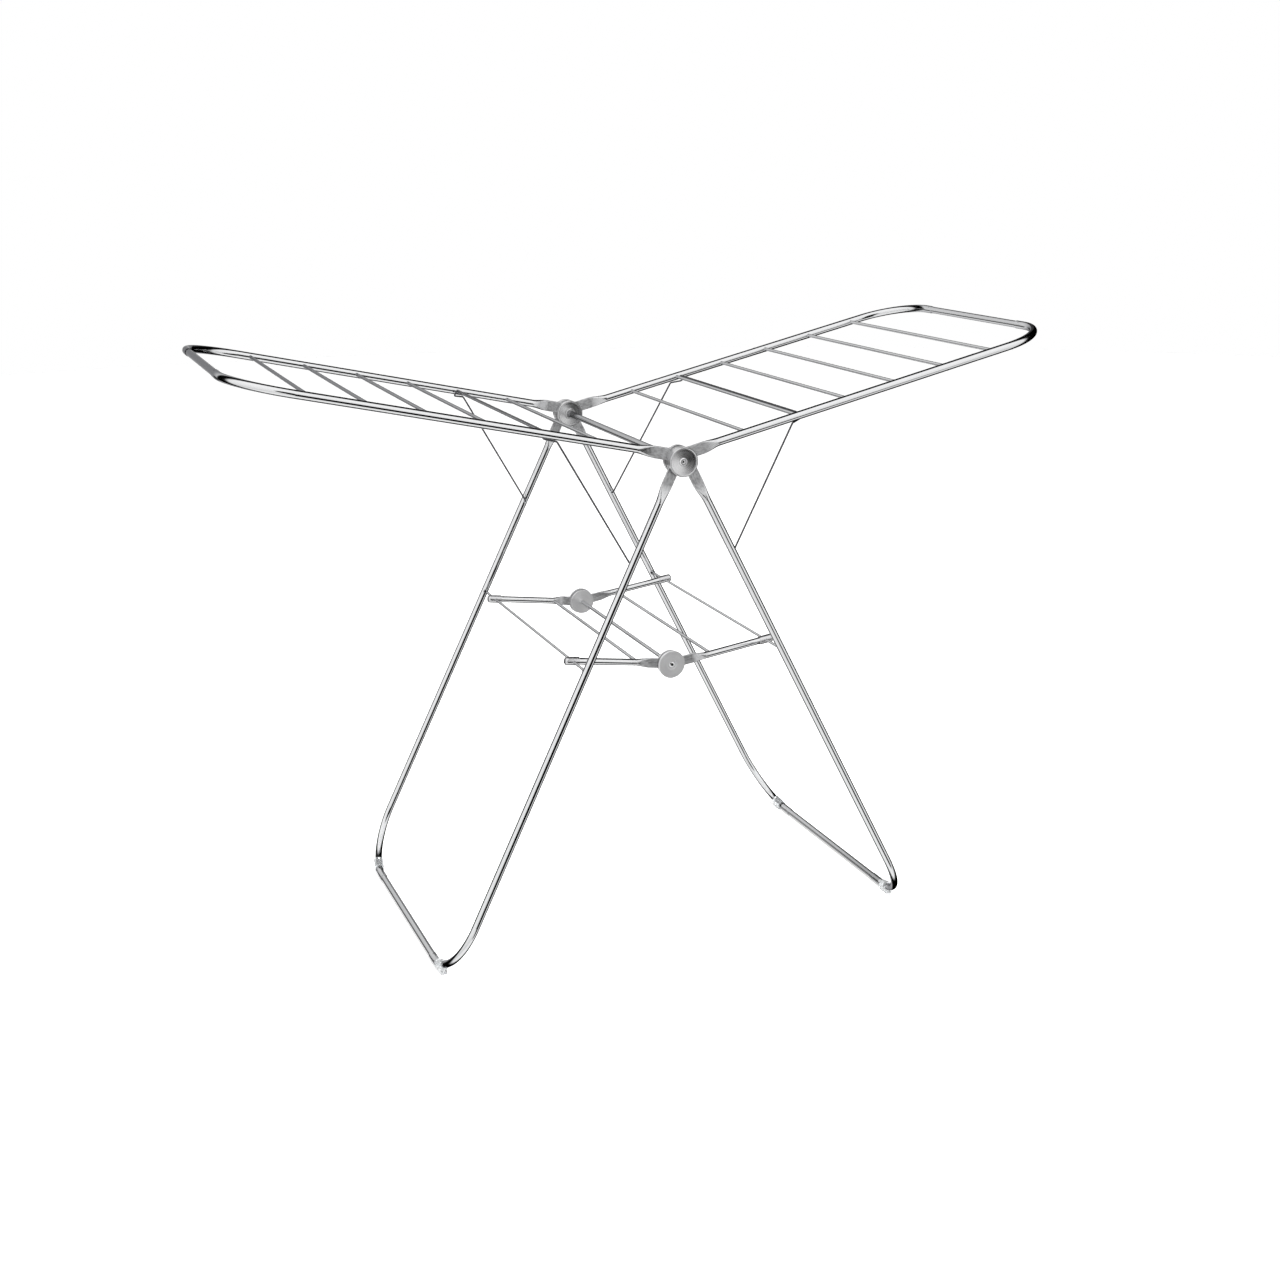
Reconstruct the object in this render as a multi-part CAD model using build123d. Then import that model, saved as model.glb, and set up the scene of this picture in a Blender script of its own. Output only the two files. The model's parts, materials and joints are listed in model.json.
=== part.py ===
"""Folding gullwing clothes drying rack.

Frame: +X to the right wing, +Y to the far side, +Z up, millimetres.
The origin is on the floor, under the middle of the main axle.
Side is -1 for left and +1 for right, end is -1 for near and +1 for far.
Every moving frame turns about an axis along Y.
"""
from build123d import *
import math
import os

# ---------------------------------------------------------------- overall
HUB_HEIGHT = 909.0            # main axle above the floor
HUB_FACE_Y = 318.0            # outer face of each hub drum from the middle
RUNNING_FIT = 0.05            # radial clearance of a turning bore
SEAT_FIT = 0.02               # radial clearance of a joint that stays put
SIDE_GAP = 0.4                # clearance between discs that turn past each other
EDGE_BREAK = 0.8              # bevel on turned edges

# ------------------------------------------------------------------- legs
LEG_ANGLE = 26.43             # degrees from vertical, standing open
LEG_OFFSET = 7.9              # leg centre line from the main axle's axis
LEG_OD = 14.0
LEG_WALL = 0.9
LEG_HUB_Y = {-1: 307.5, 1: 314.0}     # leg centre line beside the hub
LEG_FOOT_Y = {-1: 319.0, 1: 333.0}    # leg centre line at the foot bend
FOOT_BEND = 110.0             # centre line radius of the foot bends
FOOT_CENTRE_Z = 9.0           # foot tube's axis above the floor
FOOT_JOINT_Y = 190.0          # where the leg tubes end on the foot line
PLUG_DEPTH = 22.0             # how far a plugged tube goes in
CRIMP_OD = 5.0                # ball that presses a crimp into a tube's wall
CRIMP_DEPTH = 0.6
CRIMP_SPREAD = 35.0           # crimps to either side of the top, degrees
PAD_Y = 246.0                 # middle of a foot pad on the bend
PAD_LENGTH = 26.0
PAD_WALL = 2.2
PAD_PATH_START = 1.6          # the pads' path starts this many bend radii up the leg
PAD_PATH_END = 10.0           # and ends this far along the foot tube
GROUND_BLOCK = (3000.0, 3000.0, 100.0)   # trims the pads flat

# ------------------------------------------------------------------ wings
WING_ANGLE = 12.83            # degrees above horizontal, held up
WING_OFFSET = 7.65            # wing centre line above the main axle's axis
WING_OD = 15.0
WING_WALL = 0.9
WING_Y = {-1: 290.0, 1: 287.0}        # side tube centre line
WING_REACH = 780.7            # end tube from the main axle, along the wing
WING_BEND = 105.0
WING_JOINT_Y = 158.0          # where the side tubes end on the end tube
WING_ROD_OD = 6.35
WING_ROD_WALL = 0.8
WING_ROD_FIRST = 138.0        # first rod from the main axle
WING_ROD_PITCH = 102.3
WING_ROD_COUNT = 6

# -------------------------------------------------------- flattened ends
SPADE_THICK = 3.0
SPADE_WIDEN = 1.47            # flattened width over the tube's diameter
SPADE_FLAT_END = 47.0         # flat part ends here, from the main axle
SPADE_ROUND_START = 82.0      # tube is round from here on
CRUSH_STEP = 0.2              # crushed end under the tube's diameter where it starts
CRUSH_PLUG = 4.0              # solid metal in the tube behind the crushed end
# Between round and flat: share of the way, width and thickness over the tube's
# diameter, and share of the sideways step to the spade's layer.
CRUSH_SECTIONS = ((0.3, 1.12, 0.78, 0.25), (0.7, 1.367, 0.38, 0.80))
CRUSH_CORNER = 0.495          # corner radius over a section's thickness

# -------------------------------------------------------------- main hubs
HUB_OD = 52.0
AXLE_OD = 12.0
AXLE_WALL = 1.5
CAP_DEPTH = 6.4               # front cap, rim to back
CAP_RIM = 2.0
CAP_SHELL = 1.6
DISH_DEPTH = 2.6              # dish below the rim at its edge
DISH_FALL = 2.2               # further fall towards the centre
DISH_SIDE = 1.0               # width of the dish's sloping side
RIM_BEVEL = (0.5, 0.4)        # inner edge of the rim, across and deep
SKIRT_LAP = 0.5               # the skirt starts this deep in the cap's plate
SKIRT_WALL = 1.0
SKIRT_CLEAR = 1.9             # between a leg spade's edge and the skirt, degrees
SPACER_DEPTH = 5.6
BACK_CAP_DEPTH = 9.0
RIVET_LIP = 0.8               # rivet head beyond the axle's surface
RIVET_SHANK = 12.0
RIVET_HEAD_THICK = 1.5
RIVET_BORE = 4.0
COLLAR_OD = 20.0
COLLAR_LENGTH = 5.0
COLLAR_SEAT = 5.85            # collar's seat in the back cap, from its outer face
GROOVE_WIDTH = 1.0            # groove round the spacer
GROOVE_DEPTH = 0.6
WASHER_OD = 22.0

# ------------------------------------------------------------------ shelf
SHELF_DROP = 25.9             # shelf axle below the pivot rods, standing open
SHELF_PIVOT_ALONG = 402.0     # pivot rod from the main axle, along the leg
SHELF_BAR_OD = 12.7
SHELF_BAR_WALL = 0.9
SHELF_BAR_Y = {-1: 238.5, 1: 249.5}
SHELF_DISC_OD = 51.0
SHELF_DISC_THICK = 4.0
SHELF_DISC_RECESS_OD = 18.0
SHELF_DISC_RECESS = 1.6
SHELF_INNER_STEP = 3.0        # inner disc smaller than the outer one
SHELF_EYE_STEP = 4.0          # bars' eyes smaller than the outer disc
SHELF_AXLE_OD = 7.0
SHELF_RIVET_OD = 10.5
SHELF_ROD_OD = 6.0
SHELF_ROD_AT = {-1: 62.0, 1: 79.0}    # inner rod from the shelf axle
SHELF_FLAT_END = 40.0         # flat part of a bar ends here
SHELF_ROUND_START = 66.0
ROD_SEAT = 4.0                # a rod's end inside the tube it is let into
PIVOT_ROD_OD = 5.0
PIVOT_FLARE_OD = 8.4
PIVOT_FLARE_LENGTH = 7.0
SHELF_OVERHANG = 14.0         # bar beyond its pivot rod
END_CAP_LENGTH = 27.0
END_CAP_WALL = 1.5
END_CAP_NOSE = 3.2            # nose radius over the wall
BOSS_WALL = 0.95              # pivot boss's neck round the pivot rod
BOSS_LIP = 1.5                # boss's flange beyond its neck
BOSS_HEIGHT = 2.2
BOSS_NECK = 2.0               # neck inside the leg tube
BUSH_CLEAR = 0.2              # flange of a bush or boss from the sloping leg

# ----------------------------------------------------------------- struts
WIRE_OD = 3.2
STRUT_LEG_ALONG = 199.0       # strut pivot from the main axle, along the leg
STRUT_WING_ALONG = 226.0      # where the wire passes under the wing tube
STRUT_GAP = 0.6               # wire to wing tube and to wing rod
STRUT_INSET = 3.5             # crossbar's ends inside the wing's side tubes
STRUT_BEND = 4.0              # centre line radius of the wire's bends
STRUT_REST_ANGLE = 30.0       # crossbar's place round the wing rod, degrees above its level
STRUT_HOOK_LEAN = 2.8         # how far the hooks lean away from the wing rod
STRUT_HOOK_TAPER = 4.0        # how far each hook leans in from the side tube
STRUT_IN_LEG = 5.0            # wire end inside the leg tube
STRUT_STANDOFF = 5.5          # wire arm from the leg's inner face
GROMMET_WALL = 0.75           # bush's neck round the wire
GROMMET_LIP = 1.4             # bush's flange beyond its neck
GROMMET_HEIGHT = 1.2
GROMMET_NECK = 2.4            # neck inside the leg tube

NAMES = {-1: "left", 1: "right"}
ENDS = {-1: "near", 1: "far"}

# -------------------------------------------------------- derived values
leg_sin = math.sin(math.radians(LEG_ANGLE))
leg_cos = math.cos(math.radians(LEG_ANGLE))
wing_sin = math.sin(math.radians(WING_ANGLE))
wing_cos = math.cos(math.radians(WING_ANGLE))
FOOT_ALONG = (HUB_HEIGHT + LEG_OFFSET * leg_sin - FOOT_CENTRE_Z) / leg_cos
FOOT_OD = LEG_OD - 2 * LEG_WALL - 2 * SEAT_FIT
WING_END_OD = WING_OD - 2 * WING_WALL - 2 * SEAT_FIT
SPADE_LAYER = SPADE_THICK + SIDE_GAP
BOSS_NECK_OD = PIVOT_ROD_OD + 2 * RUNNING_FIT + 2 * BOSS_WALL
GROMMET_NECK_OD = WIRE_OD + 2 * RUNNING_FIT + 2 * GROMMET_WALL

# Faces of the drum's layers, measured inwards from its outer face.
LAYER_LEG = {1: CAP_DEPTH + SIDE_GAP}
LAYER_LEG[-1] = LAYER_LEG[1] + SPADE_LAYER
SPACER_AT = LAYER_LEG[-1] + SPADE_LAYER
LAYER_WING = {-1: SPACER_AT + SPACER_DEPTH + SIDE_GAP}
LAYER_WING[1] = LAYER_WING[-1] + SPADE_LAYER
BACK_CAP_AT = LAYER_WING[1] + SPADE_LAYER
HUB_INNER_Y = HUB_FACE_Y - BACK_CAP_AT - BACK_CAP_DEPTH

# Shelf layers, as distances from the middle plane.
shelf_spade_y = {
    -1: (SHELF_BAR_Y[-1] + SHELF_BAR_Y[1] - SPADE_LAYER) / 2,
    1: (SHELF_BAR_Y[-1] + SHELF_BAR_Y[1] + SPADE_LAYER) / 2,
}
shelf_disc_in = shelf_spade_y[-1] - SPADE_THICK / 2 - SIDE_GAP - SHELF_DISC_THICK
shelf_disc_out = shelf_spade_y[1] + SPADE_THICK / 2 + SIDE_GAP


# ------------------------------------------------------------- positions
def leg_point(side, along, y, out=0.0):
    """Point on a leg's plane, along it from the hub, standing out from it."""
    lift = LEG_OFFSET + out
    x = along * leg_sin + lift * leg_cos
    z = HUB_HEIGHT - along * leg_cos + lift * leg_sin
    return Vector(side * x, y, z)


def wing_point(side, along, y, up=0.0):
    """Point on a wing's plane, along it from the hub, raised from it."""
    lift = WING_OFFSET + up
    x = along * wing_cos - lift * wing_sin
    z = HUB_HEIGHT + along * wing_sin + lift * wing_cos
    return Vector(side * x, y, z)


def leg_y(side, along):
    """Distance of a leg's centre line from the middle plane."""
    share = (along - SPADE_ROUND_START) / (FOOT_ALONG - FOOT_BEND - SPADE_ROUND_START)
    return LEG_HUB_Y[side] + share * (LEG_FOOT_Y[side] - LEG_HUB_Y[side])


shelf_pivot = leg_point(1, SHELF_PIVOT_ALONG, 0)
shelf_half = math.hypot(shelf_pivot.X, SHELF_DROP)
shelf_angle = math.atan2(SHELF_DROP, shelf_pivot.X)
shelf_axle_z = shelf_pivot.Z - SHELF_DROP


def shelf_point(side, along, y, up=0.0):
    """Point on a shelf half's plane, along it from the shelf axle."""
    x = along * math.cos(shelf_angle) - up * math.sin(shelf_angle)
    z = shelf_axle_z + along * math.sin(shelf_angle) + up * math.cos(shelf_angle)
    return Vector(side * x, y, z)


# --------------------------------------------------------- basic shapes
def rod(start, finish, diameter):
    """Solid round rod between two points."""
    run = finish - start
    section = Plane(origin=start, z_dir=run) * Circle(diameter / 2)
    return extrude(section, amount=run.length)


def tube(start, finish, diameter, wall):
    """Round tube between two points, open at both ends."""
    return rod(start, finish, diameter) - rod(start, finish, diameter - 2 * wall)


def bent_tube(points, radii, diameter, wall):
    """Round tube along straight runs joined by arcs."""
    path = FilletPolyline(*points, radius=radii)
    plane = Plane(origin=path @ 0, z_dir=path % 0)
    outer = sweep(plane * Circle(diameter / 2), path)
    return outer - sweep(plane * Circle(diameter / 2 - wall), path)


def disc(x, z, y_low, y_high, diameter, bore):
    """Disc with a bore, its axis along Y."""
    low = Vector(x, min(y_low, y_high), z)
    high = Vector(x, max(y_low, y_high), z)
    return rod(low, high, diameter) - rod(low, high, bore)


def turned(x, z, y_face, inward, profile):
    """Body of revolution about an axis along Y.

    The profile lists radius and depth pairs, depth counted inwards from y_face.
    """
    section = Plane.XY * make_face(Polyline(*profile, close=True))
    body = revolve(section, Axis.Y)
    if inward < 0:
        body = body.mirror(Plane.XZ)
    return Pos(x, y_face, z) * body


def flattened_end(anchor, toward_hub, wide, diameter, wall, spade_y, flat, round_at):
    """Crushed end of a tube, from the full round section to the flat spade.

    anchor gives the tube's centre at a distance from the hub, wide is the
    direction of the spade's width. The tube's own offset in Y fades into the
    spade's layer. A short plug joins it to the tube's wall.
    """
    full = diameter - CRUSH_STEP
    steps = [(round_at, full, full, 0.0)]
    for share, across, thick, fade in CRUSH_SECTIONS:
        along = round_at + share * (flat - round_at)
        steps.append((along, diameter * across, diameter * thick, fade))
    steps.append((flat, diameter * SPADE_WIDEN, SPADE_THICK, 1.0))
    sections = []
    for along, across, thick, fade in steps:
        centre = anchor(along)
        centre = Vector(centre.X, centre.Y + fade * (spade_y - centre.Y), centre.Z)
        plane = Plane(origin=centre, x_dir=wide, z_dir=toward_hub)
        sections.append(plane * RectangleRounded(across, thick, thick * CRUSH_CORNER))
    plug = rod(anchor(round_at), anchor(round_at + CRUSH_PLUG), diameter - wall)
    return loft(sections) + plug


def spade(anchor, toward_hub, wide, diameter, spade_y, flat, hub, eye_od, bore):
    """Flat spade with the round eye that turns on an axle."""
    width = diameter * SPADE_WIDEN
    centre = anchor(flat)
    centre = Vector(centre.X, spade_y, centre.Z)
    plane = Plane(origin=centre, x_dir=wide, z_dir=toward_hub)
    section = plane * RectangleRounded(width, SPADE_THICK, SPADE_THICK * CRUSH_CORNER)
    blade = extrude(section, amount=flat)
    outer = Vector(hub.X, spade_y + SPADE_THICK / 2, hub.Z)
    inner = Vector(hub.X, spade_y - SPADE_THICK / 2, hub.Z)
    return blade + rod(inner, outer, eye_od) - rod(inner, outer, bore)


# --------------------------------------------------------------- the hubs
def hub_parts(parts):
    """Main axle and the two drums that the legs and wings turn in."""
    axle_end = HUB_FACE_Y - CAP_DEPTH + CAP_SHELL / 2
    parts["main_axle"] = tube(
        Vector(0, -axle_end, HUB_HEIGHT), Vector(0, axle_end, HUB_HEIGHT), AXLE_OD, AXLE_WALL
    )
    washers = []
    for end in (-1, 1):
        name = ENDS[end]
        face = end * HUB_FACE_Y
        parts["hub_front_cap_" + name] = front_cap(face, -end)
        parts["hub_spacer_" + name] = hub_spacer(face, end)
        parts["hub_back_cap_" + name] = back_cap(face - end * BACK_CAP_AT, -end)
        parts["axle_rivet_" + name] = axle_rivet(face, -end)
        collar_out = end * (HUB_INNER_Y + BACK_CAP_DEPTH - COLLAR_SEAT)
        parts["axle_collar_" + name] = axle_collar(collar_out, -end)
        for depth in (LAYER_LEG[1], LAYER_LEG[-1], LAYER_WING[-1], LAYER_WING[1]):
            middle = HUB_FACE_Y - depth + SIDE_GAP / 2
            half = SIDE_GAP / 2
            washers.append(
                disc(0, HUB_HEIGHT, end * (middle - half), end * (middle + half),
                     WASHER_OD, AXLE_OD + 2 * SEAT_FIT)
            )
    parts["hub_washers"] = Compound(children=washers)


def front_cap(face, inward):
    """Dished cap with a raised rim and a skirt over the leg spades."""
    radius = HUB_OD / 2
    bore = AXLE_OD / 2 + SEAT_FIT
    dish_edge = radius - CAP_RIM
    seat = DISH_DEPTH + DISH_FALL
    seat_radius = AXLE_OD / 2 + RIVET_LIP + EDGE_BREAK
    skirt_end = SPACER_AT - SIDE_GAP
    body = turned(0, HUB_HEIGHT, face, inward, [
        (bore, seat),
        (seat_radius, seat),
        (dish_edge - DISH_SIDE, DISH_DEPTH),
        (dish_edge, RIM_BEVEL[1]),
        (dish_edge + RIM_BEVEL[0], 0.0),
        (radius - EDGE_BREAK, 0.0),
        (radius, EDGE_BREAK),
        (radius, CAP_DEPTH),
        (bore, CAP_DEPTH),
    ])
    skirt = disc(0, HUB_HEIGHT, face + inward * (CAP_DEPTH - SKIRT_LAP), face + inward * skirt_end,
                 HUB_OD, HUB_OD - 2 * SKIRT_WALL)
    return body + (skirt - leg_window(face, inward, skirt_end))


def leg_window(face, inward, skirt_end):
    """Wedge at the bottom of the drum that the leg spades swing in."""
    reach = HUB_OD
    spade_edge = LEG_OFFSET + LEG_OD * SPADE_WIDEN / 2
    spade_reach = math.degrees(math.asin(spade_edge / (HUB_OD / 2 - SKIRT_WALL)))
    half = math.radians(LEG_ANGLE + spade_reach + SKIRT_CLEAR)
    corner = (reach * math.sin(half), -reach * math.cos(half))
    outline = Polyline((0, 0), corner, (corner[0], -reach), (-corner[0], -reach),
                       (-corner[0], corner[1]), close=True)
    low = min(face + inward * CAP_DEPTH, face + inward * skirt_end)
    wedge = extrude(Plane.XZ * make_face(outline), amount=-(skirt_end - CAP_DEPTH))
    return Pos(0, low, HUB_HEIGHT) * wedge


def hub_spacer(face, end):
    """Thick ring between the leg spades and the wing spades."""
    outer = face - end * SPACER_AT
    ring = disc(0, HUB_HEIGHT, outer, outer - end * SPACER_DEPTH, HUB_OD, AXLE_OD + 2 * SEAT_FIT)
    middle = outer - end * SPACER_DEPTH / 2
    groove = disc(0, HUB_HEIGHT, middle - GROOVE_WIDTH / 2, middle + GROOVE_WIDTH / 2,
                  HUB_OD + 2 * GROOVE_DEPTH, HUB_OD - 2 * GROOVE_DEPTH)
    return ring - groove


def back_cap(face, inward):
    """Cap on the inner side of a drum, dished around the axle collar."""
    radius = HUB_OD / 2
    bore = AXLE_OD / 2 + SEAT_FIT
    return turned(0, HUB_HEIGHT, face, inward, [
        (bore, 0.0),
        (radius, 0.0),
        (radius, BACK_CAP_DEPTH - EDGE_BREAK),
        (radius - EDGE_BREAK, BACK_CAP_DEPTH),
        (radius - CAP_RIM, BACK_CAP_DEPTH),
        (radius - CAP_RIM - EDGE_BREAK, BACK_CAP_DEPTH - 2 * EDGE_BREAK),
        (COLLAR_OD / 2 + EDGE_BREAK, COLLAR_SEAT),
        (bore, COLLAR_SEAT),
    ])


def axle_rivet(face, inward):
    """Hollow rivet that closes the axle's end and clamps the front cap."""
    seat = DISH_DEPTH + DISH_FALL
    head = AXLE_OD / 2 + RIVET_LIP
    shank = AXLE_OD / 2 - AXLE_WALL - SEAT_FIT
    hole = RIVET_BORE / 2
    return turned(0, HUB_HEIGHT, face, inward, [
        (hole, seat - RIVET_HEAD_THICK + 0.5),
        (hole + EDGE_BREAK, seat - RIVET_HEAD_THICK),
        (head - 1.2, seat - RIVET_HEAD_THICK),
        (head, seat - 0.5),
        (head, seat),
        (shank, seat),
        (shank, seat + RIVET_SHANK),
        (hole, seat + RIVET_SHANK),
    ])


def axle_collar(outer, inward):
    """Ring on the axle that holds the drum together from the inner side."""
    bore = AXLE_OD / 2 + SEAT_FIT
    radius = COLLAR_OD / 2
    return turned(0, HUB_HEIGHT, outer, inward, [
        (bore, 0.0),
        (radius, 0.0),
        (radius, COLLAR_LENGTH - EDGE_BREAK),
        (radius - EDGE_BREAK, COLLAR_LENGTH),
        (bore + EDGE_BREAK, COLLAR_LENGTH),
        (bore, COLLAR_LENGTH - EDGE_BREAK),
    ])


def crimps(centre, up, across, diameter):
    """Pair of balls that dent a tube over the plug inside it."""
    reach = diameter / 2 + CRIMP_OD / 2 - CRIMP_DEPTH
    balls = []
    for turn in (-CRIMP_SPREAD, CRIMP_SPREAD):
        lean = math.radians(turn)
        place = centre + up * (reach * math.cos(lean)) + across * (reach * math.sin(lean))
        balls.append(Pos(place) * Sphere(CRIMP_OD / 2))
    return balls


# --------------------------------------------------------------- the legs
def leg_tube(side, end):
    """Leg: spade in the drum, long straight run and the bend to the foot."""
    hub = Vector(0, 0, HUB_HEIGHT)
    toward_hub = leg_point(side, 0, 0) - leg_point(side, 1, 0)
    wide = leg_point(side, 0, 0, 1) - leg_point(side, 0, 0)
    spade_y = end * (HUB_FACE_Y - LAYER_LEG[side] - SPADE_THICK / 2)

    def centre(along):
        return leg_point(side, along, end * leg_y(side, along))

    corner = leg_point(side, FOOT_ALONG, end * leg_y(side, FOOT_ALONG))
    tail = leg_point(side, FOOT_ALONG, end * FOOT_JOINT_Y)
    body = bent_tube([centre(SPADE_ROUND_START), corner, tail], FOOT_BEND, LEG_OD, LEG_WALL)
    eye_od = HUB_OD - 2 * SKIRT_WALL - 2 * SIDE_GAP
    body += flattened_end(
        centre, toward_hub, wide, LEG_OD, LEG_WALL, spade_y, SPADE_FLAT_END, SPADE_ROUND_START)
    body += spade(centre, toward_hub, wide, LEG_OD, spade_y, SPADE_FLAT_END, hub, eye_od,
                  AXLE_OD + 2 * RUNNING_FIT)
    inner = end * (leg_y(side, STRUT_LEG_ALONG) - LEG_OD)
    strut_hole = rod(leg_point(side, STRUT_LEG_ALONG, inner), centre(STRUT_LEG_ALONG),
                     GROMMET_NECK_OD + 2 * SEAT_FIT)
    inner = end * (leg_y(side, SHELF_PIVOT_ALONG) - LEG_OD)
    pivot_hole = rod(leg_point(side, SHELF_PIVOT_ALONG, inner), centre(SHELF_PIVOT_ALONG),
                     BOSS_NECK_OD + 2 * SEAT_FIT)
    body = body - strut_hole - pivot_hole
    joint = leg_point(side, FOOT_ALONG, end * (FOOT_JOINT_Y + PLUG_DEPTH / 2))
    for ball in crimps(joint, toward_hub, wide, LEG_OD):
        body -= ball
    return body


def foot_tube(side):
    """Straight tube along the floor, plugged into both leg tubes."""
    reach = FOOT_JOINT_Y + PLUG_DEPTH
    near = leg_point(side, FOOT_ALONG, -reach)
    far = leg_point(side, FOOT_ALONG, reach)
    return tube(near, far, FOOT_OD, LEG_WALL)


def foot_bend_drop(y, side):
    """How far above the foot line the bend's centre line runs at y."""
    start = leg_y(side, FOOT_ALONG) - FOOT_BEND
    if abs(y) < start:
        return 0.0
    return FOOT_BEND - math.sqrt(FOOT_BEND ** 2 - (abs(y) - start) ** 2)


def foot_pad(side, end):
    """Clear clip round the foot bend, with a flat sole on the floor."""
    low = PAD_Y - PAD_LENGTH / 2
    high = PAD_Y + PAD_LENGTH / 2
    inner = leg_point(side, FOOT_ALONG - foot_bend_drop(low, side), end * low)
    outer = leg_point(side, FOOT_ALONG - foot_bend_drop(high, side), end * high)
    sleeve = rod(inner, outer, LEG_OD + 2 * PAD_WALL)
    middle = (inner + outer) / 2
    top = middle.Z
    sole = Pos(middle.X, middle.Y, top / 2) * Box(LEG_OD - 2, PAD_LENGTH, top)
    return sleeve + sole


def foot_pads(side):
    """Both foot pads of a leg frame, bored to the tube that they clip on."""
    pads = []
    for end in (-1, 1):
        corner = leg_point(side, FOOT_ALONG, end * leg_y(side, FOOT_ALONG))
        start_along = FOOT_ALONG - PAD_PATH_START * FOOT_BEND
        start = leg_point(side, start_along, end * leg_y(side, start_along))
        tail = leg_point(side, FOOT_ALONG, end * (FOOT_JOINT_Y - PAD_PATH_END))
        path = FilletPolyline(start, corner, tail, radius=FOOT_BEND)
        plane = Plane(origin=path @ 0, z_dir=path % 0)
        core = sweep(plane * Circle(LEG_OD / 2 + SEAT_FIT), path)
        ground = Pos(0, 0, -GROUND_BLOCK[2] / 2) * Box(*GROUND_BLOCK)
        pads.append(foot_pad(side, end) - core - ground)
    return Compound(children=pads)


def grommets(side):
    """Bushes in the legs that the strut's wire ends turn in."""
    rings = []
    for end in (-1, 1):
        face = leg_y(side, STRUT_LEG_ALONG) - LEG_OD / 2
        middle = leg_point(side, STRUT_LEG_ALONG, 0)
        hole = WIRE_OD + 2 * RUNNING_FIT
        lip = disc(middle.X, middle.Z, end * (face - GROMMET_HEIGHT), end * (face - BUSH_CLEAR),
                   GROMMET_NECK_OD + 2 * GROMMET_LIP, hole)
        neck = disc(middle.X, middle.Z, end * (face - GROMMET_HEIGHT), end * (face + GROMMET_NECK),
                    GROMMET_NECK_OD, hole)
        rings.append(lip + neck)
    return Compound(children=rings)


def pivot_bosses(side):
    """Bosses on the legs' inner faces at the shelf's pivot rod."""
    rings = []
    bore = PIVOT_ROD_OD + 2 * RUNNING_FIT
    for end in (-1, 1):
        face = leg_y(side, SHELF_PIVOT_ALONG) - LEG_OD / 2
        middle = leg_point(side, SHELF_PIVOT_ALONG, 0)
        collar = disc(middle.X, middle.Z, end * (face - BOSS_HEIGHT), end * (face - BUSH_CLEAR),
                      BOSS_NECK_OD + 2 * BOSS_LIP, bore)
        neck = disc(middle.X, middle.Z, end * (face - BOSS_HEIGHT), end * (face + BOSS_NECK),
                    BOSS_NECK_OD, bore)
        rings.append(collar + neck)
    return Compound(children=rings)


# -------------------------------------------------------------- the wings
def wing_rod_along(index):
    """Distance of a wing rod from the main axle, along the wing."""
    return WING_ROD_FIRST + index * WING_ROD_PITCH


def wing_tube(side, end):
    """Wing side tube: spade in the drum, straight run and outer bend."""
    hub = Vector(0, 0, HUB_HEIGHT)
    toward_hub = wing_point(side, 0, 0) - wing_point(side, 1, 0)
    wide = wing_point(side, 0, 0, 1) - wing_point(side, 0, 0)
    spade_y = end * (HUB_FACE_Y - LAYER_WING[side] - SPADE_THICK / 2)

    def centre(along):
        return wing_point(side, along, end * WING_Y[side])

    tail = wing_point(side, WING_REACH, end * WING_JOINT_Y)
    body = bent_tube(
        [centre(SPADE_ROUND_START), centre(WING_REACH), tail], WING_BEND, WING_OD, WING_WALL)
    body += flattened_end(
        centre, toward_hub, wide, WING_OD, WING_WALL, spade_y, SPADE_FLAT_END,
        SPADE_ROUND_START)
    body += spade(centre, toward_hub, wide, WING_OD, spade_y, SPADE_FLAT_END, hub,
                  HUB_OD - 2 * SIDE_GAP, AXLE_OD + 2 * RUNNING_FIT)
    for index in range(WING_ROD_COUNT):
        along = wing_rod_along(index)
        body -= rod(wing_point(side, along, end * (WING_Y[side] - WING_OD)), centre(along),
                    WING_ROD_OD + 2 * SEAT_FIT)
    joint = wing_point(side, WING_REACH, end * (WING_JOINT_Y + PLUG_DEPTH / 2))
    for ball in crimps(joint, wide, toward_hub, WING_OD):
        body -= ball
    return body


def wing_end_tube(side):
    """Straight tube across the wing's outer end."""
    reach = WING_JOINT_Y + PLUG_DEPTH
    return tube(wing_point(side, WING_REACH, -reach), wing_point(side, WING_REACH, reach),
                WING_END_OD, WING_WALL)


def wing_rod(side, index):
    """Cross rod let into both side tubes."""
    reach = WING_Y[side] - WING_OD / 2 + ROD_SEAT
    along = wing_rod_along(index)
    return tube(wing_point(side, along, -reach), wing_point(side, along, reach),
                WING_ROD_OD, WING_ROD_WALL)


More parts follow.
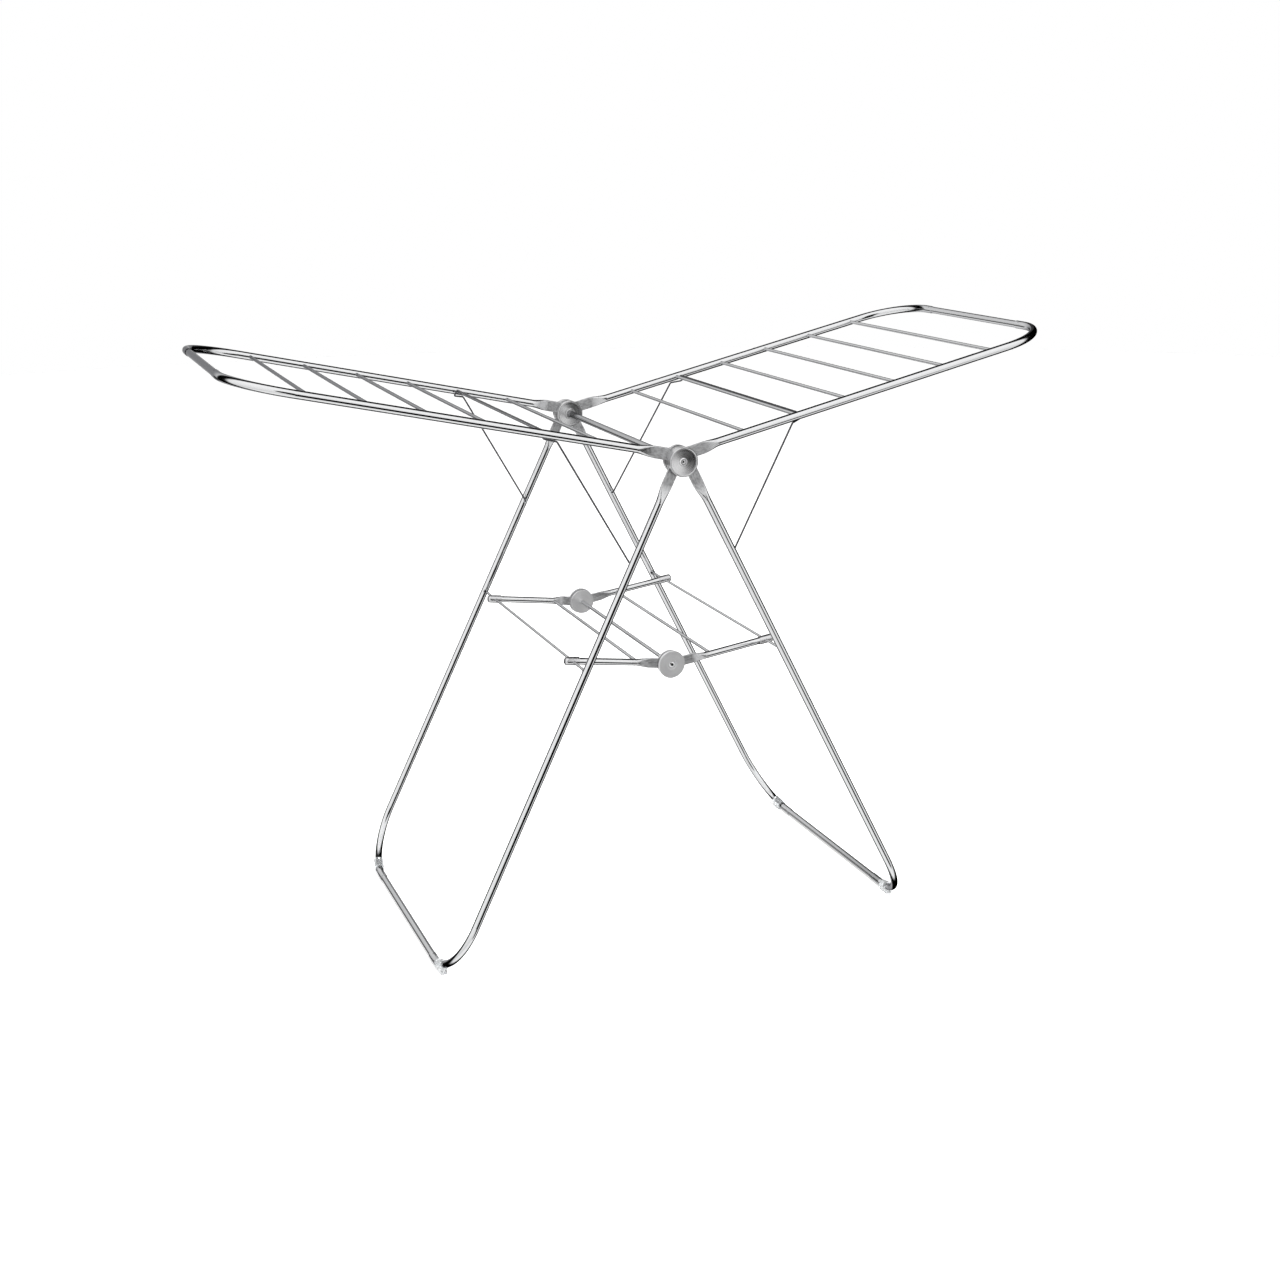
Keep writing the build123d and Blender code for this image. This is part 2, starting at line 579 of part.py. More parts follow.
# ------------------------------------------------------------- the struts
def strut(side):
    """Bent wire that props a wing from its legs.

    The ends turn in the legs, the arms rise to the wing's side tubes, pass
    under them and join in a crossbar against the second wing rod.
    """
    second_rod = wing_rod_along(1)
    rod_gap = (WING_ROD_OD + WIRE_OD) / 2 + STRUT_GAP
    below = -(WING_OD + WIRE_OD) / 2 - STRUT_GAP
    beside = rod_gap * math.cos(math.radians(STRUT_REST_ANGLE))
    above = rod_gap * math.sin(math.radians(STRUT_REST_ANGLE))
    inside = WING_Y[side] - WING_OD / 2 - WIRE_OD / 2 - STRUT_INSET
    leg_face = leg_y(side, STRUT_LEG_ALONG) - LEG_OD / 2
    points = []
    for end in (-1, 1):
        half = [
            leg_point(side, STRUT_LEG_ALONG, end * (leg_face + STRUT_IN_LEG)),
            leg_point(side, STRUT_LEG_ALONG, end * (leg_face - STRUT_STANDOFF)),
            wing_point(side, STRUT_WING_ALONG, end * WING_Y[side], below),
            wing_point(side, second_rod + rod_gap + STRUT_HOOK_LEAN, end * inside, below),
            wing_point(side, second_rod + beside, end * (inside - STRUT_HOOK_TAPER), above),
        ]
        points += half if end < 0 else half[::-1]
    radii = [STRUT_BEND] * (len(points) - 2)
    path = FilletPolyline(*points, radius=radii)
    plane = Plane(origin=path @ 0, z_dir=path % 0)
    return sweep(plane * Circle(WIRE_OD / 2), path)


# -------------------------------------------------------------- the shelf
def shelf_bar(side, end):
    """Shelf side bar with its spade on the shelf axle."""
    hub = Vector(0, 0, shelf_axle_z)
    toward_hub = shelf_point(side, 0, 0) - shelf_point(side, 1, 0)
    wide = shelf_point(side, 0, 0, 1) - shelf_point(side, 0, 0)
    spade_y = end * shelf_spade_y[side]

    def centre(along):
        return shelf_point(side, along, end * SHELF_BAR_Y[side])

    body = tube(centre(SHELF_ROUND_START), centre(shelf_half + SHELF_OVERHANG),
                SHELF_BAR_OD, SHELF_BAR_WALL)
    body += flattened_end(
        centre, toward_hub, wide, SHELF_BAR_OD, SHELF_BAR_WALL, spade_y, SHELF_FLAT_END,
        SHELF_ROUND_START)
    fit = SEAT_FIT if side < 0 else RUNNING_FIT
    body += spade(centre, toward_hub, wide, SHELF_BAR_OD, spade_y, SHELF_FLAT_END, hub,
                  SHELF_DISC_OD - SHELF_EYE_STEP, SHELF_AXLE_OD + 2 * fit)
    inner = end * (SHELF_BAR_Y[side] - SHELF_BAR_OD)
    body -= rod(shelf_point(side, SHELF_ROD_AT[side], inner), centre(SHELF_ROD_AT[side]),
                SHELF_ROD_OD + 2 * SEAT_FIT)
    outer = end * (SHELF_BAR_Y[side] + SHELF_BAR_OD)
    body -= rod(shelf_point(side, shelf_half, inner), shelf_point(side, shelf_half, outer),
                PIVOT_ROD_OD + 2 * SEAT_FIT)
    return body


def shelf_end_cap(side, end):
    """Round-nosed cap over a shelf bar's outer end."""
    y = end * SHELF_BAR_Y[side]
    radius = SHELF_BAR_OD / 2 + END_CAP_WALL
    tip = shelf_half + SHELF_OVERHANG + END_CAP_WALL
    outer = rod(shelf_point(side, tip - END_CAP_LENGTH, y), shelf_point(side, tip, y), 2 * radius)
    outer = fillet(outer.edges().group_by(SortBy.LENGTH)[-1].sort_by_distance(
        shelf_point(side, tip, y))[0], END_CAP_NOSE * END_CAP_WALL)
    cavity = rod(shelf_point(side, tip - END_CAP_LENGTH - 1, y),
                 shelf_point(side, shelf_half + SHELF_OVERHANG + SEAT_FIT, y),
                 SHELF_BAR_OD + 2 * SEAT_FIT)
    hole = rod(shelf_point(side, shelf_half, y - 2 * radius),
               shelf_point(side, shelf_half, y + 2 * radius), PIVOT_ROD_OD + 2 * SEAT_FIT)
    return outer - cavity - hole


def shelf_rod(side):
    """Cross rod near the shelf's middle."""
    reach = SHELF_BAR_Y[side] - SHELF_BAR_OD / 2 + ROD_SEAT
    along = SHELF_ROD_AT[side]
    return rod(shelf_point(side, along, -reach), shelf_point(side, along, reach), SHELF_ROD_OD)


def pivot_rod(side):
    """Long rod through both bars' outer ends, reaching to the legs.

    On the left it turns in the legs' bosses. On the right, where the
    linkage is left open, it stops just short of them.
    """
    face = leg_y(side, SHELF_PIVOT_ALONG) - LEG_OD / 2
    boss = face - BOSS_HEIGHT
    reach = face + ROD_SEAT if side < 0 else boss - SIDE_GAP
    body = rod(shelf_point(side, shelf_half, -reach), shelf_point(side, shelf_half, reach),
               PIVOT_ROD_OD)
    for end in (-1, 1):
        flare_end = shelf_point(side, shelf_half, end * (boss - SIDE_GAP))
        flare_start = shelf_point(side, shelf_half, end * (boss - SIDE_GAP - PIVOT_FLARE_LENGTH))
        run = flare_end - flare_start
        small = Plane(origin=flare_start, z_dir=run) * Circle(PIVOT_ROD_OD / 2)
        large = Plane(origin=flare_end, z_dir=run) * Circle(PIVOT_FLARE_OD / 2)
        body += loft([small, large])
    return body


def shelf_disc(end):
    """Outer face disc of the shelf hub, with a recess round the rivet."""
    outer = shelf_disc_out + SHELF_DISC_THICK
    radius = SHELF_DISC_OD / 2
    bore = SHELF_AXLE_OD / 2 + SEAT_FIT
    recess = SHELF_DISC_RECESS_OD / 2
    return turned(0, shelf_axle_z, end * outer, -end, [
        (bore, SHELF_DISC_RECESS),
        (recess - EDGE_BREAK, SHELF_DISC_RECESS),
        (recess, 0.0),
        (radius - EDGE_BREAK, 0.0),
        (radius, EDGE_BREAK),
        (radius, SHELF_DISC_THICK),
        (bore, SHELF_DISC_THICK),
    ])


def shelf_inner_disc(end):
    """Disc on the inner side of the shelf hub."""
    return disc(0, shelf_axle_z, end * shelf_disc_in, end * (shelf_disc_in + SHELF_DISC_THICK),
                SHELF_DISC_OD - SHELF_INNER_STEP, SHELF_AXLE_OD + 2 * SEAT_FIT)


def shelf_axle():
    """Axle rod through both shelf hubs."""
    reach = shelf_disc_out + SHELF_DISC_THICK - SHELF_DISC_RECESS
    return rod(Vector(0, -reach, shelf_axle_z), Vector(0, reach, shelf_axle_z), SHELF_AXLE_OD)


def shelf_rivets():
    """Domed heads on the shelf axle's ends."""
    heads = []
    base = shelf_disc_out + SHELF_DISC_THICK - SHELF_DISC_RECESS
    radius = SHELF_RIVET_OD / 2
    for end in (-1, 1):
        heads.append(turned(0, shelf_axle_z, end * (base + 2.2), -end, [
            (0.0, 0.0),
            (radius * 0.55, 0.0),
            (radius * 0.88, 0.6),
            (radius, 1.5),
            (radius, 2.2),
            (0.0, 2.2),
        ]))
    return Compound(children=heads)


# --------------------------------------------------------------- assembly
def build():
    """Every piece of the rack by its name."""
    parts = {}
    hub_parts(parts)
    for side in (-1, 1):
        name = NAMES[side]
        for end in (-1, 1):
            label = name + "_" + ENDS[end]
            parts["leg_tube_" + label] = leg_tube(side, end)
            parts["wing_tube_" + label] = wing_tube(side, end)
            parts["shelf_bar_" + label] = shelf_bar(side, end)
            parts["shelf_end_cap_" + label] = shelf_end_cap(side, end)
        parts["foot_tube_" + name] = foot_tube(side)
        parts["foot_pads_" + name] = foot_pads(side)
        parts["strut_grommets_" + name] = grommets(side)
        parts["pivot_bosses_" + name] = pivot_bosses(side)
        parts["wing_end_tube_" + name] = wing_end_tube(side)
        for index in range(WING_ROD_COUNT):
            parts[f"wing_rod_{name}_{index + 1}"] = wing_rod(side, index)
        parts["strut_" + name] = strut(side)
        parts["shelf_rod_" + name] = shelf_rod(side)
        parts["shelf_pivot_rod_" + name] = pivot_rod(side)
    for end in (-1, 1):
        discs = [shelf_disc(end), shelf_inner_disc(end)]
        parts["shelf_discs_" + ENDS[end]] = Compound(children=discs)
    parts["shelf_axle"] = shelf_axle()
    parts["shelf_rivets"] = shelf_rivets()
    return parts


def main():
    """Write one STEP file for each piece."""
    os.makedirs("parts", exist_ok=True)
    for name, shape in build().items():
        export_step(shape, "parts/" + name + ".step")


main()
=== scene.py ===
"""Looks of the folding clothes drying rack.

Metres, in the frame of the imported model: +X to the right wing, +Y to the far
hub, +Z up, with the origin on the floor under the main axle.
"""
import json
import math

import bpy
from mathutils import Matrix, Vector


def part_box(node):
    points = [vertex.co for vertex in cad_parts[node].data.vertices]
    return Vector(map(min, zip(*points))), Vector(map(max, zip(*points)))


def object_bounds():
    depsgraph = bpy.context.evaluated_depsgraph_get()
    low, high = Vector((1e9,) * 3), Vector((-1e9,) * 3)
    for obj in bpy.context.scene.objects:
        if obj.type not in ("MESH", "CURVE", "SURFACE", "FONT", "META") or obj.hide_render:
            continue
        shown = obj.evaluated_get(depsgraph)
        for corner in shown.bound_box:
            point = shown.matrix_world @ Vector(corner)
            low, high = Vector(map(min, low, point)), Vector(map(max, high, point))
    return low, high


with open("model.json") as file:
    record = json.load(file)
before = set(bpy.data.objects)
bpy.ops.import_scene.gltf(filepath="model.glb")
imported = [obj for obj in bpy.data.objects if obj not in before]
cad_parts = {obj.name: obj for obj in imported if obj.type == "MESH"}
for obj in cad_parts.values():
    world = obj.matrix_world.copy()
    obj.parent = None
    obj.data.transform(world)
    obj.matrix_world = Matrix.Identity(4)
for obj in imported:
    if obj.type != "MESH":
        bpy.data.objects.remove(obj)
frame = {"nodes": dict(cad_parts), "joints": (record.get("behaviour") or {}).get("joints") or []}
cad_low, cad_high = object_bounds()
nodes = frame["nodes"]
joints = {joint["name"]: joint for joint in frame["joints"]}

# ------------------------------------------------------------------ camera
VIEW_AZIMUTH = 20.97          # degrees, the camera looks to the right of +Y
VIEW_ELEVATION = 16.06
VIEW_ROLL = -0.885
VIEW_DISTANCE = 3.467
VIEW_LENS = 50.32             # on a 36 mm sensor
VIEW_OFF_CENTRE = Vector((0.0263, -0.0221, -0.0390))   # aim, from the middle of the box

# ------------------------------------------------------------------ studio
FLOOR_RADIUS = 9.0
FLOOR_SIDES = 96
FLOOR_PAINT = (0.93, 0.93, 0.93, 1)
FLOOR_GLOW = 0.4              # keeps the far floor as pale as the near one
SOFTBOX_PLACE = (0.3, -0.4, 4.2)
SOFTBOX_SIZE = 3.0
SOFTBOX_POWER = 260           # watts
# Height of the direction looked along, from -1 down to 1 up, and its brightness.
WALL_TONES = ((-1.0, 1.05), (-0.75, 1.0), (-0.45, 0.8), (-0.15, 0.95), (0.2, 1.0),
              (0.5, 1.05), (0.72, 1.1), (1.0, 1.1))
# Cards round the rack: azimuth from the camera's direction, elevation, the angles
# from its middle where it is full and where it ends, and its brightness.
CARDS = (
    (0, -4, 80, 96, 0.0),
    (-24, 5, 28, 35, 0.85),
    (-21, -26, 20, 30, 1.0),
    (5, 24, 8, 14, 0.1),
    (-44, -12, 7, 13, 0.1),
    (162, 4, 14, 21, 0.0),
    (151, -10, 11, 18, 0.0),
    (138, -28, 12, 20, 0.0),
)

# ----------------------------------------------------------------- metals
POLISHED_DARK = (0.70, 0.705, 0.715)
POLISHED_LIGHT = (0.88, 0.885, 0.89)
EDGE_TINT = (0.25, 0.25, 0.26, 1)     # metal seen edge-on
POLISH_GLOSS = (0.06, 0.14)           # roughness of the long tubes
ROD_GLOSS = (0.08, 0.18)
HUB_TONES = ((0.42, 0.42, 0.43), (0.98, 0.98, 0.98))
HUB_GLOSS = (0.22, 0.34)
SHELF_HUB_TONES = ((0.72, 0.72, 0.73), (0.98, 0.98, 0.98))
SHELF_HUB_GLOSS = (0.30, 0.42)
RIVET_TONES = ((0.82, 0.82, 0.83), (0.96, 0.96, 0.97))
RIVET_GLOSS = (0.10, 0.20)
SATIN_TONES = ((0.62, 0.62, 0.63), (0.82, 0.82, 0.83))
SATIN_GLOSS = (0.18, 0.30)
WIRE_TONES = ((0.05, 0.05, 0.055), (0.16, 0.16, 0.17))
WIRE_GLOSS = (0.30, 0.45)
PLASTIC_TONES = ((0.86, 0.88, 0.89), (0.95, 0.96, 0.97))
PLASTIC_GLOSS = (0.08, 0.20)
PLASTIC_IOR = 1.46
TURNING_RINGS = 520.0                 # rings to the metre on the drums
# dark tone of the painted shade on the pressed-flat ends near the axles
CRUSHED_END_SHADE = (0.16, 0.16, 0.17)
CRUSHED_RADII = (0.052, 0.085)        # pressed-flat ends, from the axle they turn on


# ------------------------------------------------------------ node helpers
class Shader:
    """A material's node tree with short ways to add and join nodes."""

    def __init__(self, name):
        self.material = bpy.data.materials.new(name)
        self.material.use_nodes = True
        self.tree = self.material.node_tree
        self.tree.nodes.clear()
        self.out = self.tree.nodes.new("ShaderNodeOutputMaterial")
        self.surface = self.tree.nodes.new("ShaderNodeBsdfPrincipled")
        self.join(self.surface.outputs["BSDF"], self.out.inputs["Surface"])

    def join(self, source, target):
        self.tree.links.new(source, target)

    def add(self, kind, **settings):
        node = self.tree.nodes.new(kind)
        for key, value in settings.items():
            setattr(node, key, value)
        return node

    def set(self, **values):
        """Constants on the surface shader's own sockets."""
        for key, value in values.items():
            self.surface.inputs[key.replace("_", " ")].default_value = value

    def position(self, origin=(0, 0, 0), along=None):
        """Object coordinates from origin, turned so that along becomes local X."""
        coords = self.add("ShaderNodeTexCoord")
        shift = self.add("ShaderNodeVectorMath", operation="SUBTRACT")
        shift.inputs[1].default_value = origin
        self.join(coords.outputs["Object"], shift.inputs[0])
        if along is None:
            return shift.outputs[0]
        turn = self.add("ShaderNodeMapping", vector_type="POINT")
        rotation = Vector((1, 0, 0)).rotation_difference(Vector(along).normalized())
        turn.inputs["Rotation"].default_value = rotation.inverted().to_euler()
        self.join(shift.outputs[0], turn.inputs["Vector"])
        return turn.outputs["Vector"]

    def from_axis(self, point):
        """Distance from an axis along Y through point."""
        flat = self.stretched(self.position(origin=point), (1.0, 0.0, 1.0))
        length = self.add("ShaderNodeVectorMath", operation="LENGTH")
        self.join(flat, length.inputs[0])
        return length.outputs["Value"]

    def stretched(self, vector, scale):
        node = self.add("ShaderNodeVectorMath", operation="MULTIPLY")
        node.inputs[1].default_value = scale
        self.join(vector, node.inputs[0])
        return node.outputs[0]

    def noise(self, vector, scale=1.0, detail=3.0, roughness=0.55):
        node = self.add("ShaderNodeTexNoise")
        node.inputs["Scale"].default_value = scale
        node.inputs["Detail"].default_value = detail
        node.inputs["Roughness"].default_value = roughness
        self.join(vector, node.inputs["Vector"])
        return node.outputs["Fac"]

    def ranged(self, value, low, high, from_low=0.0, from_high=1.0):
        node = self.add("ShaderNodeMapRange")
        node.inputs["From Min"].default_value = from_low
        node.inputs["From Max"].default_value = from_high
        node.inputs["To Min"].default_value = low
        node.inputs["To Max"].default_value = high
        self.join(value, node.inputs["Value"])
        return node.outputs["Result"]

    def mixed(self, value, low, high):
        node = self.add("ShaderNodeMix", data_type="RGBA")
        node.inputs["A"].default_value = (*low, 1)
        node.inputs["B"].default_value = (*high, 1)
        self.join(value, node.inputs["Factor"])
        return node.outputs["Result"]

    def darkened(self, color, share):
        """Color faded by a share towards a dark tone: painted shade."""
        node = self.add("ShaderNodeMix", data_type="RGBA")
        node.inputs["B"].default_value = (*CRUSHED_END_SHADE, 1)
        self.join(color, node.inputs["A"])
        self.join(share, node.inputs["Factor"])
        return node.outputs["Result"]

    def math(self, operation, first, second=None):
        node = self.add("ShaderNodeMath", operation=operation)
        for index, value in enumerate((first, second)):
            if value is None:
                continue
            if isinstance(value, (int, float)):
                node.inputs[index].default_value = value
            else:
                self.join(value, node.inputs[index])
        return node.outputs[0]

    def bump(self, height, strength, distance):
        node = self.add("ShaderNodeBump")
        node.inputs["Strength"].default_value = strength
        node.inputs["Distance"].default_value = distance
        self.join(height, node.inputs["Height"])
        self.join(node.outputs["Normal"], self.surface.inputs["Normal"])


# --------------------------------------------------------------- materials
def drawn_metal(name, along, dark, light, gloss, streak=700.0, crushed_at=None):
    """Polished steel with fine lines left along it by drawing and polishing.

    Ends pressed flat round the axis at crushed_at are scuffed and less glossy, and carry painted
    shade that darkens them towards the axle, mottled by the scuff pattern.
    """
    shader = Shader(name)
    place = shader.position(along=along)
    lines = shader.noise(shader.stretched(place, (6.0, streak, streak)), detail=4.0)
    cloud = shader.noise(place, scale=26.0, detail=4.0)
    tone = shader.math("ADD", shader.math("MULTIPLY", lines, 0.6),
                       shader.math("MULTIPLY", cloud, 0.4))
    color = shader.mixed(tone, dark, light)
    gloss = shader.ranged(tone, *gloss, 0.3, 0.7)
    height = lines
    if crushed_at is not None:
        crushed = shader.ranged(shader.from_axis(crushed_at), 1.0, 0.0, *CRUSHED_RADII)
        scuffs_and_shade = shader.noise(shader.stretched(place, (170.0, 420.0, 420.0)), detail=5.0)
        scuffed = shader.ranged(scuffs_and_shade, 0.22, 0.42, 0.35, 0.65)
        gloss = shader.math("ADD", gloss, shader.math("MULTIPLY", crushed, scuffed))
        height = shader.math("ADD", lines, shader.math("MULTIPLY", crushed, scuffs_and_shade))
        # painted shade: the pressed-flat ends darken towards the axle, mottled by the scuff
        # pattern
        shade = shader.math("MULTIPLY", crushed, shader.ranged(scuffs_and_shade, 0.40, 0.0, 0.35, 0.65))
        color = shader.darkened(color, shade)
    shader.join(color, shader.surface.inputs["Base Color"])
    shader.join(gloss, shader.surface.inputs["Roughness"])
    shader.bump(height, 0.05, 0.0002)
    shader.set(Metallic=1.0, Specular_Tint=EDGE_TINT)
    return shader.material


def turned_metal(name, axis_point, dark, light, gloss, rings, anisotropic, metallic=1.0):
    """Steel turned on a lathe: fine rings about an axis along Y."""
    shader = Shader(name)
    place = shader.position(origin=axis_point)
    ring = shader.add("ShaderNodeCombineXYZ")
    radius = shader.from_axis(axis_point)
    shader.join(shader.math("MULTIPLY", radius, rings), ring.inputs["X"])
    fine = shader.noise(ring.outputs[0], detail=3.0)
    cloud = shader.noise(place, scale=60.0, detail=4.0)
    tone = shader.math("ADD", shader.math("MULTIPLY", fine, 0.65),
                       shader.math("MULTIPLY", cloud, 0.35))
    shader.join(shader.mixed(tone, dark, light), shader.surface.inputs["Base Color"])
    shader.join(shader.ranged(tone, *gloss, 0.3, 0.7), shader.surface.inputs["Roughness"])
    shader.bump(fine, 0.12, 0.0003)
    tangent = shader.add("ShaderNodeTangent", direction_type="RADIAL", axis="Y")
    shader.join(tangent.outputs[0], shader.surface.inputs["Tangent"])
    shader.set(Metallic=metallic, Anisotropic=anisotropic)
    return shader.material


def satin_metal(name, dark, light, gloss):
    """Bead-blasted steel with a soft even shine."""
    shader = Shader(name)
    place = shader.position()
    grain = shader.noise(place, scale=1800.0, detail=2.0)
    cloud = shader.noise(place, scale=45.0, detail=5.0)
    shader.join(shader.mixed(cloud, dark, light), shader.surface.inputs["Base Color"])
    shader.join(shader.ranged(cloud, *gloss, 0.3, 0.7), shader.surface.inputs["Roughness"])
    shader.bump(grain, 0.10, 0.0002)
    shader.set(Metallic=1.0)
    return shader.material


def clear_plastic(name):
    """Clear moulded plastic with faint flow marks."""
    shader = Shader(name)
    place = shader.position()
    flow = shader.noise(shader.stretched(place, (90.0, 260.0, 90.0)), detail=3.0)
    shader.join(shader.mixed(flow, *PLASTIC_TONES), shader.surface.inputs["Base Color"])
    shader.join(shader.ranged(flow, *PLASTIC_GLOSS), shader.surface.inputs["Roughness"])
    shader.bump(flow, 0.15, 0.0004)
    shader.set(Metallic=0.0, Transmission_Weight=0.85, IOR=PLASTIC_IOR)
    return shader.material


def dress(node, material):
    """Gives a CAD node its material."""
    mesh = nodes[node].data
    mesh.materials.clear()
    mesh.materials.append(material)


def direction(low, high):
    """Unit vector between two points."""
    return (Vector(high) - Vector(low)).normalized()


def leg_line(side):
    """Direction of a leg of one side, down from the hub."""
    low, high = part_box("leg_tube_" + side + "_near")
    reach = low.x if side == "left" else high.x
    return direction((0, 0, high.z), (reach, 0, low.z))


def wing_line(side):
    """Direction of a wing of one side, outwards from the hub."""
    low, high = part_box("wing_tube_" + side + "_near")
    inner = joints["wing_" + side + "_fold"]["pos_m"][2]
    reach = low.x if side == "left" else high.x
    return direction((0, 0, inner), (reach, 0, high.z))


def shelf_line(side):
    """Direction of a shelf bar of one side, outwards from the shelf axle."""
    low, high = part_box("shelf_bar_" + side + "_near")
    inner = joints["shelf_right_swing"]["pos_m"][2]
    reach = low.x if side == "left" else high.x
    return direction((0, 0, inner), (reach, 0, high.z))


def dress_nodes():
    """Every CAD node's material."""
    hub = joints["wing_left_fold"]["pos_m"]
    shelf_hub = joints["shelf_right_swing"]["pos_m"]
    across = drawn_metal("polished_across", (0, 1, 0), POLISHED_DARK, POLISHED_LIGHT, ROD_GLOSS)
    hub_turned = turned_metal("hub_turned", hub, *HUB_TONES, HUB_GLOSS, TURNING_RINGS, 0.6)
    shelf_turned = turned_metal("shelf_hub_turned", shelf_hub, *SHELF_HUB_TONES,
                                SHELF_HUB_GLOSS, 500.0, 0.3, metallic=0.85)
    satin = satin_metal("satin_caps", *SATIN_TONES, SATIN_GLOSS)
    clear = clear_plastic("clear_plastic")
    rivet = turned_metal("rivet_turned", hub, *RIVET_TONES, RIVET_GLOSS, 900.0, 0.2)
    wire = satin_metal("spring_wire", *WIRE_TONES, WIRE_GLOSS)
    for side in ("left", "right"):
        leg = drawn_metal("polished_leg_" + side, leg_line(side), POLISHED_DARK,
                          POLISHED_LIGHT, POLISH_GLOSS, crushed_at=hub)
        wing = drawn_metal("polished_wing_" + side, wing_line(side), POLISHED_DARK,
                           POLISHED_LIGHT, POLISH_GLOSS, crushed_at=hub)
        bar = drawn_metal("polished_bar_" + side, shelf_line(side), POLISHED_DARK,
                          POLISHED_LIGHT, POLISH_GLOSS, crushed_at=shelf_hub)
        for end in ("near", "far"):
            dress(f"leg_tube_{side}_{end}", leg)
            dress(f"wing_tube_{side}_{end}", wing)
            dress(f"shelf_bar_{side}_{end}", bar)
            dress(f"shelf_end_cap_{side}_{end}", satin)
        dress("strut_" + side, wire)
        dress("foot_pads_" + side, clear)
        dress("strut_grommets_" + side, clear)
        dress("pivot_bosses_" + side, satin)
        for stem in ("foot_tube_", "wing_end_tube_", "shelf_rod_", "shelf_pivot_rod_"):
            dress(stem + side, across)
        for index in range(1, 7):
            dress(f"wing_rod_{side}_{index}", across)
    for end in ("near", "far"):
        for stem in ("hub_front_cap_", "hub_spacer_", "hub_back_cap_", "axle_collar_"):
            dress(stem + end, hub_turned)
        dress("axle_rivet_" + end, rivet)
        dress("shelf_discs_" + end, shelf_turned)
    dress("hub_washers", satin)
    dress("main_axle", across)
    dress("shelf_axle", across)
    dress("shelf_rivets", rivet)


# ------------------------------------------------------------------ studio
def toward(azimuth, elevation):
    """Unit vector, azimuth counted from the camera's own direction."""
    turn = math.radians(VIEW_AZIMUTH + azimuth)
    rise = math.radians(elevation)
    return (math.sin(turn) * math.cos(rise), math.cos(turn) * math.cos(rise), math.sin(rise))


def studio_world():
    """White to the camera; the metal sees a white ceiling, grey walls and dark cards."""
    world = bpy.data.worlds.new("studio")
    world.use_nodes = True
    tree = world.node_tree
    tree.nodes.clear()
    add = tree.nodes.new
    join = tree.links.new
    coords = add("ShaderNodeTexCoord")
    split = add("ShaderNodeSeparateXYZ")
    join(coords.outputs["Generated"], split.inputs[0])
    heights = add("ShaderNodeValToRGB")
    ramp = heights.color_ramp
    ramp.interpolation = "EASE"
    while len(ramp.elements) < len(WALL_TONES):
        ramp.elements.new(0.5)
    for element, (height, grey) in zip(ramp.elements, WALL_TONES):
        element.position = (height + 1) / 2
        element.color = (grey, grey, grey, 1)
    lift = add("ShaderNodeMapRange")
    lift.inputs["From Min"].default_value = -1.0
    lift.inputs["From Max"].default_value = 1.0
    join(split.outputs["Z"], lift.inputs["Value"])
    join(lift.outputs["Result"], heights.inputs["Fac"])
    tone = heights.outputs["Color"]
    for azimuth, elevation, inner, outer, grey in CARDS:
        facing = add("ShaderNodeVectorMath")
        facing.operation = "DOT_PRODUCT"
        facing.inputs[1].default_value = toward(azimuth, elevation)
        join(coords.outputs["Generated"], facing.inputs[0])
        edge = add("ShaderNodeMapRange")
        edge.interpolation_type = "SMOOTHSTEP"
        edge.inputs["From Min"].default_value = math.cos(math.radians(outer))
        edge.inputs["From Max"].default_value = math.cos(math.radians(inner))
        join(facing.outputs["Value"], edge.inputs["Value"])
        cover = add("ShaderNodeMix")
        cover.data_type = "RGBA"
        join(edge.outputs["Result"], cover.inputs["Factor"])
        join(tone, cover.inputs["A"])
        cover.inputs["B"].default_value = (grey, grey, grey, 1)
        tone = cover.outputs["Result"]
    seen = add("ShaderNodeBackground")
    seen.inputs["Color"].default_value = (1, 1, 1, 1)
    reflected = add("ShaderNodeBackground")
    join(tone, reflected.inputs["Color"])
    path = add("ShaderNodeLightPath")
    mix = add("ShaderNodeMixShader")
    join(path.outputs["Is Camera Ray"], mix.inputs["Fac"])
    join(reflected.outputs[0], mix.inputs[1])
    join(seen.outputs[0], mix.inputs[2])
    out = add("ShaderNodeOutputWorld")
    join(mix.outputs[0], out.inputs["Surface"])
    bpy.context.scene.world = world


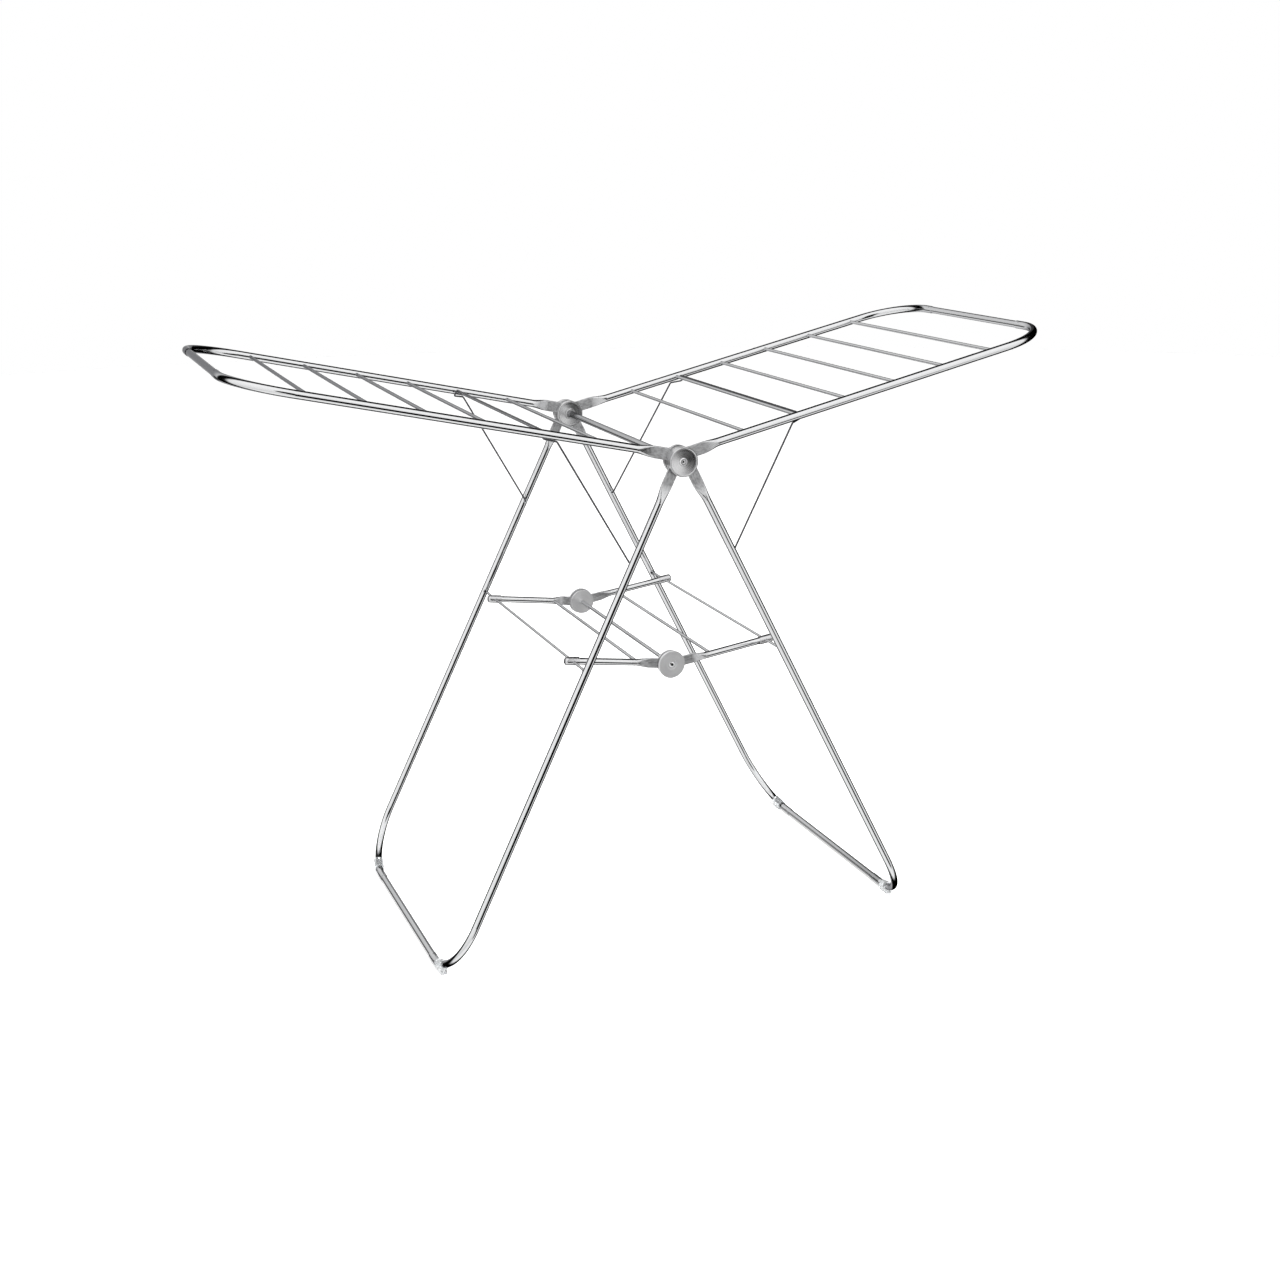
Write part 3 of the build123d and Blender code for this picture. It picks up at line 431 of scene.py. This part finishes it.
def studio_floor():
    """Round pale floor, wider than every view of the rack."""
    ring = [
        (FLOOR_RADIUS * math.cos(turn), FLOOR_RADIUS * math.sin(turn), 0.0)
        for turn in (2 * math.pi * index / FLOOR_SIDES for index in range(FLOOR_SIDES))
    ]
    mesh = bpy.data.meshes.new("floor")
    mesh.from_pydata(ring, [], [list(range(FLOOR_SIDES))])
    floor = bpy.data.objects.new("floor", mesh)
    bpy.context.scene.collection.objects.link(floor)
    shader = Shader("floor_paint")
    shader.set(Base_Color=FLOOR_PAINT, Roughness=0.9, Specular_IOR_Level=0.1)
    shader.set(Emission_Color=(1, 1, 1, 1), Emission_Strength=FLOOR_GLOW)
    mesh.materials.append(shader.material)
    floor.visible_glossy = False


def soft_light(name, place, aim, size, power):
    """Large square softbox."""
    data = bpy.data.lights.new(name, "AREA")
    data.shape = "SQUARE"
    data.size = size
    data.energy = power
    light = bpy.data.objects.new(name, data)
    light.location = place
    light.rotation_euler = (Vector(aim) - Vector(place)).to_track_quat("-Z", "Y").to_euler()
    light.visible_glossy = False
    bpy.context.scene.collection.objects.link(light)


def studio_lights():
    middle = (cad_low + cad_high) / 2
    soft_light("top_softbox", SOFTBOX_PLACE, middle, SOFTBOX_SIZE, SOFTBOX_POWER)


# ------------------------------------------------------------------ camera
def photo_camera():
    """Camera at the photographed view of the rack."""
    azimuth = math.radians(VIEW_AZIMUTH)
    elevation = math.radians(VIEW_ELEVATION)
    forward = Vector((
        math.sin(azimuth) * math.cos(elevation),
        math.cos(azimuth) * math.cos(elevation),
        -math.sin(elevation),
    ))
    aim = (cad_low + cad_high) / 2 + VIEW_OFF_CENTRE
    right = forward.cross(Vector((0, 0, 1))).normalized()
    up = right.cross(forward)
    roll = math.radians(VIEW_ROLL)
    turned_right = math.cos(roll) * right + math.sin(roll) * up
    turned_up = -math.sin(roll) * right + math.cos(roll) * up
    data = bpy.data.cameras.new("camera")
    data.lens = VIEW_LENS
    data.sensor_width = 36.0
    camera = bpy.data.objects.new("camera", data)
    turn = Matrix((turned_right, turned_up, -forward)).transposed()
    camera.matrix_world = Matrix.Translation(aim - forward * VIEW_DISTANCE) @ turn.to_4x4()
    bpy.context.scene.collection.objects.link(camera)
    bpy.context.scene.camera = camera


photo_camera()
dress_nodes()
studio_world()
studio_floor()
studio_lights()
bpy.context.scene.view_settings.view_transform = "Standard"
